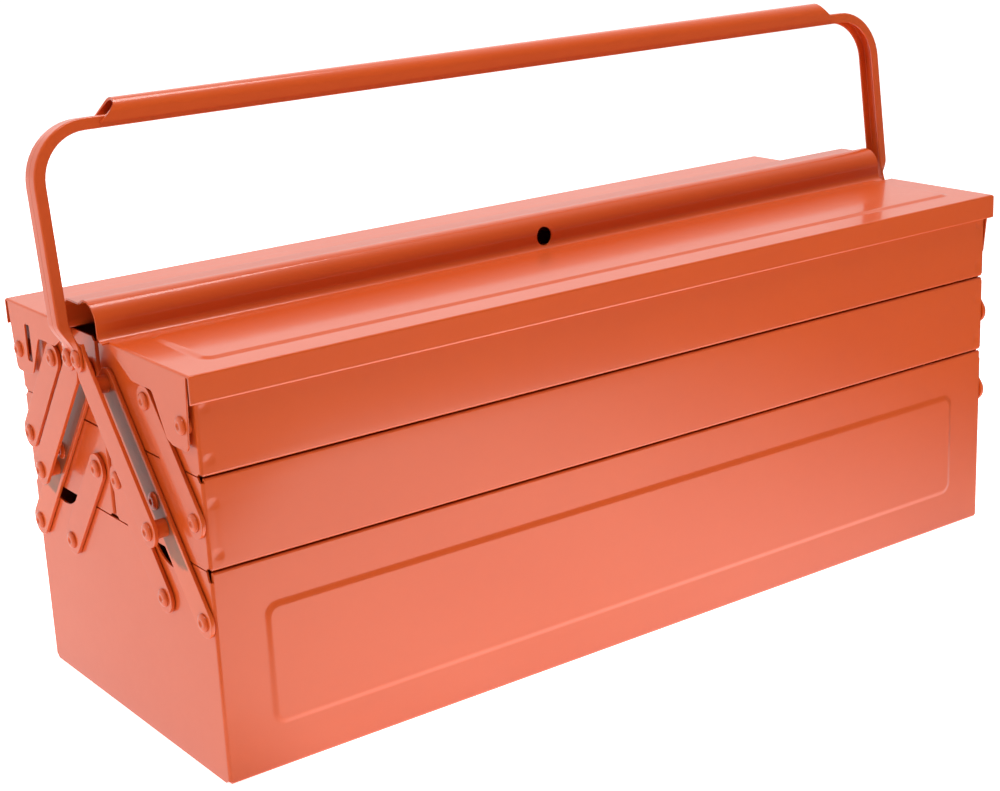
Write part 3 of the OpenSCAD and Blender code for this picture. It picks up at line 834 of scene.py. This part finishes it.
def bail(side):
    """Half of the carrying handle: an angle section, flattened into a tab below each leg."""
    low, high, t, wide = HANDLE_HALF_GAP, HANDLE_HALF_W, HANDLE_SHEET, TAB_FAR
    mid_y, tab_r = (low + wide) / 2, (wide - low) / 2
    # Both sections are corners (depth from the outer face, distance, corner radius in mm).
    corners = [(0, low, 0.1), (0, high, 1.2), (-HANDLE_T, high, 0.5), (-HANDLE_T, high - t, 0.5),
               (-t, high - t, 0.6), (-t, low, 0.1)]
    flat = [(0, low, 0.1), (0, mid_y, 0.3), (0, wide, 0.4), (-t, wide, 0.4), (-t, mid_y, 0.3),
            (-t, low, 0.1)]
    angle_section, tab_section = (
        rounded([(d, y, r * MM) for d, y, r in shape], steps=SECTION_STEPS) for shape in (corners, flat))

    def ring(x, z, out, share=0.0, narrow=1.0):
        """Section at a place on the path, with its outward direction in the XZ plane."""
        points = []
        for (d, y), (flat_d, flat_y) in zip(angle_section, tab_section):
            d, y = d + (flat_d - d) * share, y + (flat_y - y) * share
            y = mid_y + (y - mid_y) * narrow
            points.append(leaning(x + out[0] * d, SIDES[side] * y, z + out[1] * d))
        return points

    # A leg's stations are (distance from the middle, height, share of the tab's section, width).
    leg = []
    for k in range(TIP_STEPS):
        drop = tab_r * math.cos(math.pi / 2 * k / TIP_STEPS)
        narrow = math.sqrt(max(0, 1 - (drop / tab_r) ** 2))
        leg.append((TAB_X, TAB_BOTTOM + tab_r - drop, 1, max(TAB_TIP, narrow)))
    leg.append((TAB_X, JOG_LOW - JOG_LEAD, 1, 1))
    for k in range(JOG_STEPS + 1):
        up = k / JOG_STEPS
        away = smooth_step(up)
        leg.append((TAB_X + (LEG_X - TAB_X) * away, JOG_LOW + (JOG_HIGH - JOG_LOW) * up, 1 - away, 1))

    rings = [ring(-x, z, (-1, 0), share, narrow) for x, z, share, narrow in leg]
    bend_x, bend_z = LEG_X - HANDLE_BEND_R, BAR_Z - HANDLE_BEND_R
    for middle_x, first in ((-bend_x, 180), (bend_x, 90)):
        for k in range(HANDLE_BEND_STEPS + 1):
            turn = math.radians(first - 90 * k / HANDLE_BEND_STEPS)
            out = (math.cos(turn), math.sin(turn))
            rings.append(ring(middle_x + HANDLE_BEND_R * out[0], bend_z + HANDLE_BEND_R * out[1], out))
    rings += [ring(x, z, (1, 0), share, narrow) for x, z, share, narrow in reversed(leg)]
    return sweep("bail", rings)


def grip_cover(side):
    """Half-round cover over one half of the bar, with flared slanting ends."""
    radius = HANDLE_HALF_W + HANDLE_SHEET
    crown = BAR_Z + GRIP_H
    cheek = crown - radius
    lip = BAR_Z - HANDLE_T + GRIP_LIP
    start = math.degrees(math.asin(HANDLE_HALF_GAP / radius))
    path = arc((0, cheek), radius, 90 - start, 0, GRIP_STEPS)
    path += [Vector((radius, (cheek + lip) / 2)), Vector((radius, lip))]
    shares = (-1, -0.97, -0.9, -0.5, 0, 0.5, 0.9, 0.97, 1)

    def place(share, p):
        fall = (crown - p.y) / (crown - lip)
        half = GRIP_L / 2 + GRIP_FLARE * fall ** GRIP_FLARE_POWER
        return leaning(half * share, SIDES[side] * p.x, p.y)

    return sheet("grip", path, shares, place, -SIDES[side] * HANDLE_SHEET)


# ---------- Linkage ----------

def link(a, b, *holes):
    """Flat bar with holes for the pins at its ends, and for others between them."""
    loops = [strap_outline(a, b)] + [hole(at) for at in (a, b) + holes]
    return plate("link", loops, STRAP_X + STRAP_T, STRAP_T)


def rivet(at, x_inner, x_outer, side, collar=None, headed=True):
    """Rivet at the left end with a tail inside, perhaps a head outside and a collar between."""
    rim = [(HEAD_H * height, HEAD_R * radius) for radius, height in HEAD_PROFILE]
    tail = [(-x_inner + rise, radius) for rise, radius in rim]
    head = [(-x_outer - rise, radius) for rise, radius in rim] if headed else []
    shank = [(-x_inner, PIN_R)]
    if collar:
        near, far = collar
        shank += [(-near, PIN_R), (-near, HEAD_R), (-far, HEAD_R), (-far, PIN_R)]
    shank += [(-x_outer, PIN_R)]
    return lathe("rivet", list(reversed(tail)) + shank + head, (SIDES[side] * at[0], at[1]))


# ---------- Patterns for the front left corner ----------

base_panel = end_panel("base_panel", (-FACE_Y, FACE_Y), (0, BASE_TOP), BASE_CUT, notched=True)
troughs = {tier: tray_trough(tier) for tier in ("middle", "top")}
panels = {tier: tray_panel(tier) for tier in troughs}
lid_skin = lid_top()
rails = {side: lid_rail(side) for side in SIDES}
flanges = {slotted: lid_flange(slotted) for slotted in (False, True)}
bars = {
    "long_arm": link(BASE_PIN, TOP_PIN, MIDDLE_PIN, STRAP_FOOT),
    "upper_link": link(UPPER_LINK_PIN, TOP_PIN + UPPER_LINK_PIN - MIDDLE_PIN),
    "lower_link": link(LOWER_LINK_PIN, LOWER_LINK_PIN + MIDDLE_PIN - BASE_PIN)}
EAR_COLLAR = (END_X + HEAD_GAP, LID_X - SHEET - HEAD_GAP)
ARM_COLLAR = (STRAP_X + STRAP_T + HEAD_GAP, HANDLE_STRAP_X - HEAD_GAP)


# ---------- Pieces ----------

piece("base_wrap", "base_tray", [base_wrap()], shell_finish)
for end in ENDS:
    panel = at_corner(base_panel, end=end)
    piece(f"base_panel_{end}", f"base_end_{end}", [panel], shell_finish)
rivets = [rivet(at, TAIL_X, HEAD_X, side) for side in SIDES for at in (BASE_PIN, LOWER_LINK_PIN)]
piece("base_rivets", "base_pivot_rivets", both_ends(rivets), rivet_finish)

for side in SIDES:
    for tier in troughs:
        node = f"{side}_{tier}_tray"
        trough = at_corner(troughs[tier], side)
        piece(f"{side}_{tier}_trough", node, [trough], shell_finish)
        for end in ENDS:
            panel = at_corner(panels[tier], side, end)
            piece(f"{side}_{tier}_panel_{end}", f"{node}_end_{end}", [panel], shell_finish)
    row = [Vector((y, MIDDLE_PIN.y)) for y in (TOP_PIN.x, MIDDLE_PIN.x, BASE_PIN.x)]
    rivets = [rivet(at, TAIL_X, HEAD_X, side) for at in row]
    piece(f"{side}_middle_rivets", f"{side}_middle_tray_rivets", both_ends(rivets), rivet_finish)
    rivets = [rivet((MIDDLE_PIN.x, TOP_PIN.y), TAIL_X, HEAD_X, side),
              rivet(LID_PIN, TAIL_X, LID_X + HEAD_GAP, side, EAR_COLLAR)]
    piece(f"{side}_top_rivets", f"{side}_top_tray_rivets", both_ends(rivets), rivet_finish)

    skin = at_corner(lid_skin, side)
    piece(f"{side}_lid_top", f"{side}_lid_panel", [skin], shell_finish)
    rail = at_corner(rails[side], side)
    piece(f"{side}_lid_rail", f"{side}_lid_hook", [rail], shell_finish)
    side_bars = {**bars, "handle_strap": handle_strap(side)}
    for end in ENDS:
        slotted = (side == "front") == (end == "right")
        flange = at_corner(flanges[slotted], side, end)
        piece(f"{side}_lid_flange_{end}", f"{side}_lid_end_{end}", [flange], shell_finish)
        for name, bar in side_bars.items():
            node = f"{side}_{name}_{end}"
            finish = arm_shade_finish if name == "long_arm" else strap_finish
            piece(f"{node}_bar", node, [at_corner(bar, side, end)], finish)
    rivets = [rivet(STRAP_FOOT, STRAP_X + HEAD_H, OUTER_HEAD_X, side, ARM_COLLAR),
              rivet(TOP_PIN, TAIL_X, HANDLE_STRAP_X + STRAP_T / 2, side, ARM_COLLAR, headed=False),
              rivet(tab_rivet_at(side), HANDLE_STRAP_X - HEAD_GAP, TAB_X + HEAD_GAP, side)]
    piece(f"{side}_spaced_rivets", f"{side}_arm_rivets", both_ends(rivets), rivet_finish)
    piece(f"{side}_bail", f"{side}_handle_bar", [bail(side)], handle_finish)
    piece(f"{side}_grip", f"{side}_handle_grip", [grip_cover(side)], handle_finish)


# ---------- Camera, floor and light ----------

# Camera: angles in degrees, lens and sensor in mm
CAMERA_AT = Vector((-648.3, -867.2, 447.1)) * MM
CAMERA_AZIMUTH = 35.632
CAMERA_ELEVATION = 16.920
CAMERA_ROLL = -2.677
CAMERA_LENS = 69.81
CAMERA_SENSOR = 36
CAMERA_REACH = 50

# Sky: (from, to) along the direction's Y, and its strength before and beyond them
SKY_SHADE = (-0.6, 0.25, 0.15, 0.9)

# The floor, and a card that only gloss sees, glow in one zone beside the box. A glow is
# (outside the zone, inside it), and a border of the zone is (dark from, lit from) in metres.
STAGE_ROUGHNESS = 0.9
FLOOR_HALF = 6
FLOOR_PAINT = 0.93
FLOOR_GLOW = (0.5, 1.2)
CARD_HALF = 3
CARD_Z = 0.5 * MM
CARD_GLOW = (0.02, 2.8)
ZONE_AHEAD = (-0.60, -0.48)
ZONE_LEFT = (-0.56, -0.47)
ZONE_RIGHT = (0.55, 0.05)
ZONE_LEFT_EDGE = (-0.20, -0.28)
ZONE_LEFT_SHADE = 0.6

# Soft boxes: place and size in metres, power in watts. All aim at one point in the box.
LIGHT_AIM = Vector((0, 0, 0.12))
SOFT_BOXES = {
    "left_box": ((-1.6, -0.2, 1.1), (1.6, 1.4), 2),
    "front_box": ((-1.0, -1.9, 1.0), (1.2, 0.9), 0.6),
    "top_box": ((0.1, -0.1, 1.9), (1.6, 0.5), 21),
    "back_box": ((0.7, 1.7, 1.2), (2.2, 1.0), 2.5)}


def camera():
    """Camera that looks at the left end and the front from a little above the lids."""
    data = bpy.data.cameras.new("camera")
    data.lens = CAMERA_LENS
    data.sensor_width = CAMERA_SENSOR
    data.clip_end = CAMERA_REACH
    shown = placed("camera", data)
    a, e, roll = (math.radians(v) for v in (CAMERA_AZIMUTH, CAMERA_ELEVATION, CAMERA_ROLL))
    ahead = Vector((math.sin(a) * math.cos(e), math.cos(a) * math.cos(e), -math.sin(e)))
    right = ahead.cross(Vector((0, 0, 1))).normalized()
    up = right.cross(ahead)
    tilted_right = right * math.cos(roll) + up * math.sin(roll)
    tilted_up = -right * math.sin(roll) + up * math.cos(roll)
    turn = Matrix((tilted_right, tilted_up, -ahead)).transposed()
    shown.matrix_world = Matrix.Translation(CAMERA_AT) @ turn.to_4x4()
    bpy.context.scene.camera = shown


def lit_zone(finish):
    """1 beside the box and 0 beyond, where the studio is dark."""
    x, y = finish.axis("X"), finish.axis("Y")
    zone = finish.ease(y, *ZONE_AHEAD) * finish.ease(x + y, *ZONE_LEFT) * finish.ease(x, *ZONE_RIGHT)
    return zone * (1 - ZONE_LEFT_SHADE * finish.ease(x, *ZONE_LEFT_EDGE))


def stage_sheet(name, half_size, z, paint, glow):
    """Flat grey sheet of the studio that glows in the lit zone."""
    finish = Finish(name, Base_Color=(paint, paint, paint, 1), Roughness=STAGE_ROUGHNESS,
                    Specular_IOR_Level=0.0, Emission_Strength=1.0)
    dark, bright = ((level, level, level, 1) for level in glow)
    finish.to("Emission Color", finish.mix(lit_zone(finish), dark, bright))
    bm = bmesh.new()
    bmesh.ops.create_grid(bm, x_segments=1, y_segments=1, size=half_size)
    mesh = bpy.data.meshes.new(name)
    bm.to_mesh(mesh)
    bm.free()
    mesh.materials.append(finish.material)
    made = placed(name, mesh)
    made.location = Vector((0, 0, z))
    return made


def soft_box(name, at, size, power):
    """Rectangular lamp that aims at the box."""
    light = bpy.data.lights.new(name, "AREA")
    light.shape = "RECTANGLE"
    light.size, light.size_y = size
    light.energy = power
    lamp = placed(name, light)
    lamp.location = at
    lamp.rotation_euler = (LIGHT_AIM - Vector(at)).to_track_quat("-Z", "Y").to_euler()


def light_studio():
    """White sky, dim in front of the box and bright behind it, and the soft boxes."""
    world = bpy.data.worlds.new("studio")
    bpy.context.scene.world = world
    sky = Nodes(world, "BACKGROUND", "Generated")
    sky.to("Color", (1, 1, 1, 1))
    sky.to("Strength", sky.ease(sky.axis("Y"), *SKY_SHADE))
    for name, (at, size, power) in SOFT_BOXES.items():
        soft_box(name, at, size, power)
    bpy.context.scene.view_settings.view_transform = "Standard"


camera()
stage_sheet("floor", FLOOR_HALF, 0, FLOOR_PAINT, FLOOR_GLOW)
gloss_card = stage_sheet("gloss_card", CARD_HALF, CARD_Z, 0, CARD_GLOW)
for ray in ("camera", "diffuse", "shadow"):
    setattr(gloss_card, f"visible_{ray}", False)
light_studio()
